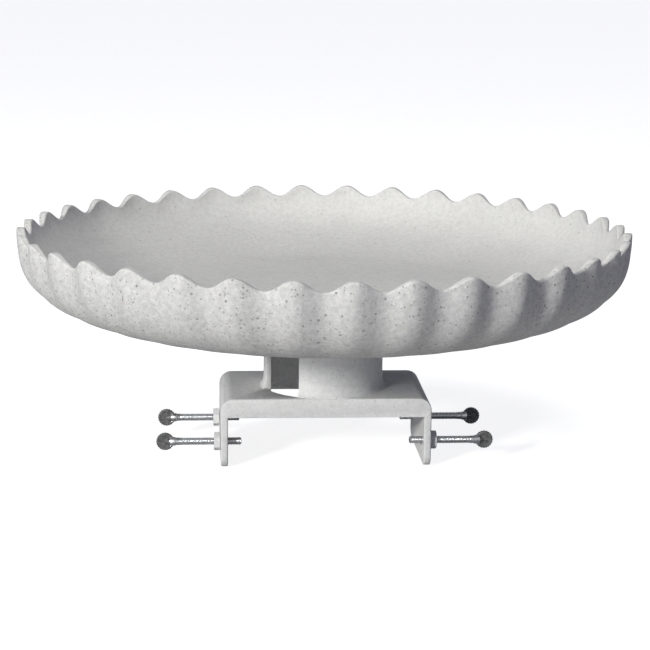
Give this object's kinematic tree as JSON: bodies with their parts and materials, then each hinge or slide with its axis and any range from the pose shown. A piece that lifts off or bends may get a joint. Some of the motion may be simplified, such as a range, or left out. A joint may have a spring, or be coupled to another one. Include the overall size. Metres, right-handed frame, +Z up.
{
  "type": "deck rail bird bath",
  "caption": "Wide scalloped bird bath bowl on a collar and saddle bracket that clamps over a deck rail with thumb screws.",
  "frame": {"origin": "middle of the bounding box, level with the bottoms of the bracket's legs", "axes": "+Z up, X across the rail along the thumb screws, Y along the rail"},
  "size_m": [0.5144, 0.5144, 0.1966],
  "materials": {
    "stone_resin": "warm light grey stone effect with fine dark specks",
    "bracket_resin": "plain light grey, faintly speckled",
    "cover_resin": "plain grey moulded plastic",
    "zinc_steel": "zinc plated, dull"
  },
  "bodies": {
    "stand": {"bowl": "stone_resin", "underside_cover": "cover_resin", "deck_bracket": "bracket_resin", "cover_screw_1": "zinc_steel", "cover_screw_2": "zinc_steel", "cover_screw_3": "zinc_steel", "cover_screw_4": "zinc_steel", "cover_screw_5": "zinc_steel", "cover_screw_6": "zinc_steel", "bowl_screw_1": "zinc_steel", "bowl_screw_2": "zinc_steel", "bowl_screw_3": "zinc_steel", "bowl_screw_4": "zinc_steel", "bowl_washer_1": "zinc_steel", "bowl_washer_2": "zinc_steel", "bowl_washer_3": "zinc_steel", "bowl_washer_4": "zinc_steel", "leg_nut_left_front": "bracket_resin", "leg_nut_left_rear": "bracket_resin", "leg_nut_right_front": "bracket_resin", "leg_nut_right_rear": "bracket_resin"},
    "clamp_left_front": {"thumb_screw_left_front": "zinc_steel"},
    "clamp_left_rear": {"thumb_screw_left_rear": "zinc_steel"},
    "clamp_right_front": {"thumb_screw_right_front": "zinc_steel"},
    "clamp_right_rear": {"thumb_screw_right_rear": "zinc_steel"}
  },
  "joints": [
    {"name": "screw_left_front", "type": "slide", "parent": "stand", "child": "clamp_left_front", "axis": [-1, 0, 0], "range_m": [-0.026, 0.0095]},
    {"name": "screw_left_rear", "type": "slide", "parent": "stand", "child": "clamp_left_rear", "axis": [-1, 0, 0], "range_m": [-0.026, 0.0095]},
    {"name": "screw_right_front", "type": "slide", "parent": "stand", "child": "clamp_right_front", "axis": [1, 0, 0], "range_m": [-0.026, 0.0095]},
    {"name": "screw_right_rear", "type": "slide", "parent": "stand", "child": "clamp_right_rear", "axis": [1, 0, 0], "range_m": [-0.026, 0.0095]}
  ]
}
